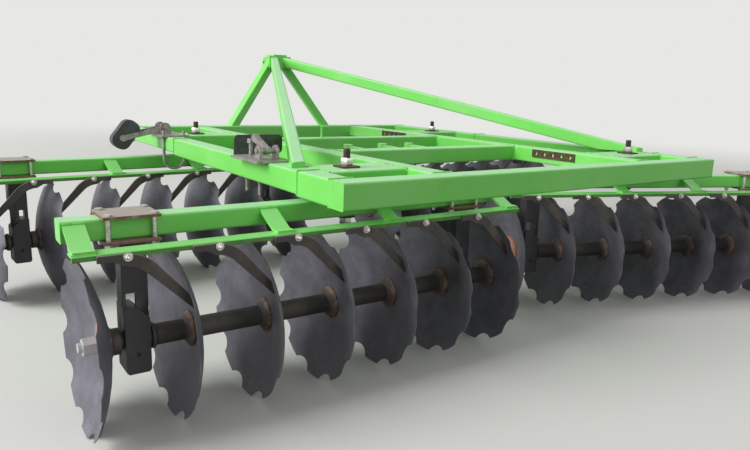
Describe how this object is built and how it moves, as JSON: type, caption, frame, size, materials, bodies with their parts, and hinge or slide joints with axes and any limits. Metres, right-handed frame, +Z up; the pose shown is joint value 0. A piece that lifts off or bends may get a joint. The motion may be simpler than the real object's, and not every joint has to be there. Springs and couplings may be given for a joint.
{
  "type": "mounted disc harrow",
  "caption": "Lime green mounted disc harrow: box-section frame with a tower hitch and four swivelling gangs of notched, dished discs with scrapers.",
  "frame": {"origin": "on the ground under the middle of the machine's outline as it parks, with the rear right gang swivelled", "axes": "+X across the machine to its right, +Y forward to the tractor, +Z up"},
  "size_m": [4.3595, 3.3361, 1.39],
  "materials": {
    "lime_paint": "semi-gloss lime green paint, a little dusty",
    "dark_paint": "dark grey-black paint",
    "disc_steel": "dark hardened steel, blue-grey",
    "axle_steel": "dark cast spools with rusty ends",
    "scraper_steel": "dark brown bare steel",
    "rusty_steel": "unpainted steel with thin brown rust",
    "grey_steel": "bare grey steel",
    "zinc": "zinc plated bolts and nuts"
  },
  "bodies": {
    "frame": {"rear_beam": "lime_paint", "front_beam": "lime_paint", "side_beam_left": "lime_paint", "side_beam_right": "lime_paint", "inner_beam_left": "lime_paint", "inner_beam_right": "lime_paint", "cross_beam_rear": "lime_paint", "cross_beam_front": "lime_paint", "pivot_bridges": "lime_paint", "pivot_bolts": "zinc", "angle_racks": "rusty_steel", "tower_legs": "lime_paint", "tower_braces": "lime_paint", "top_link_head": "lime_paint", "lower_hitch": "lime_paint", "side_bracket_front": "grey_steel", "side_bracket_rear": "grey_steel"},
    "rear_left_gang": {"beam_rear_left": "lime_paint", "scraper_bar_rear_left": "lime_paint", "scrapers_rear_left": "scraper_steel", "clamps_rear_left": "rusty_steel", "hangers_rear_left": "dark_paint"},
    "rear_left_axle": {"discs_rear_left": "disc_steel", "spools_rear_left": "axle_steel"},
    "rear_right_gang": {"beam_rear_right": "lime_paint", "scraper_bar_rear_right": "lime_paint", "scrapers_rear_right": "scraper_steel", "clamps_rear_right": "rusty_steel", "hangers_rear_right": "dark_paint"},
    "rear_right_axle": {"discs_rear_right": "disc_steel", "spools_rear_right": "axle_steel"},
    "front_left_gang": {"beam_front_left": "lime_paint", "scraper_bar_front_left": "lime_paint", "scrapers_front_left": "scraper_steel", "clamps_front_left": "rusty_steel", "hangers_front_left": "dark_paint"},
    "front_left_axle": {"discs_front_left": "disc_steel", "spools_front_left": "axle_steel"},
    "front_right_gang": {"beam_front_right": "lime_paint", "scraper_bar_front_right": "lime_paint", "scrapers_front_right": "scraper_steel", "clamps_front_right": "rusty_steel", "hangers_front_right": "dark_paint"},
    "front_right_axle": {"discs_front_right": "disc_steel", "spools_front_right": "axle_steel"}
  },
  "joints": [
    {"name": "rear_left_swivel", "type": "hinge", "parent": "frame", "child": "rear_left_gang", "pos_m": [-0.945, -1.0207, 0.65], "axis": [0, 0, 1], "range_deg": [-20, 0]},
    {"name": "rear_left_roll", "type": "hinge", "parent": "rear_left_gang", "child": "rear_left_axle", "pos_m": [-0.945, -1.0507, 0.305], "axis": [1, 0, 0], "continuous": true},
    {"name": "rear_right_swivel", "type": "hinge", "parent": "frame", "child": "rear_right_gang", "pos_m": [0.945, -1.0207, 0.65], "axis": [0, 0, 1], "range_deg": [0, 20]},
    {"name": "rear_right_roll", "type": "hinge", "parent": "rear_right_gang", "child": "rear_right_axle", "pos_m": [0.93474, -1.04889, 0.305], "axis": [0.9397, -0.342, 0], "continuous": true},
    {"name": "front_left_swivel", "type": "hinge", "parent": "frame", "child": "front_left_gang", "pos_m": [-0.945, 0.7093, 0.65], "axis": [0, 0, 1], "range_deg": [-4.4, 15.6]},
    {"name": "front_left_roll", "type": "hinge", "parent": "front_left_gang", "child": "front_left_axle", "pos_m": [-0.9427, 0.67939, 0.305], "axis": [0.9971, 0.0767, 0], "continuous": true},
    {"name": "front_right_swivel", "type": "hinge", "parent": "frame", "child": "front_right_gang", "pos_m": [0.945, 0.7093, 0.65], "axis": [0, 0, 1], "range_deg": [-4.4, 15.6]},
    {"name": "front_right_roll", "type": "hinge", "parent": "front_right_gang", "child": "front_right_axle", "pos_m": [0.9473, 0.67939, 0.305], "axis": [0.9971, 0.0767, 0], "continuous": true}
  ]
}
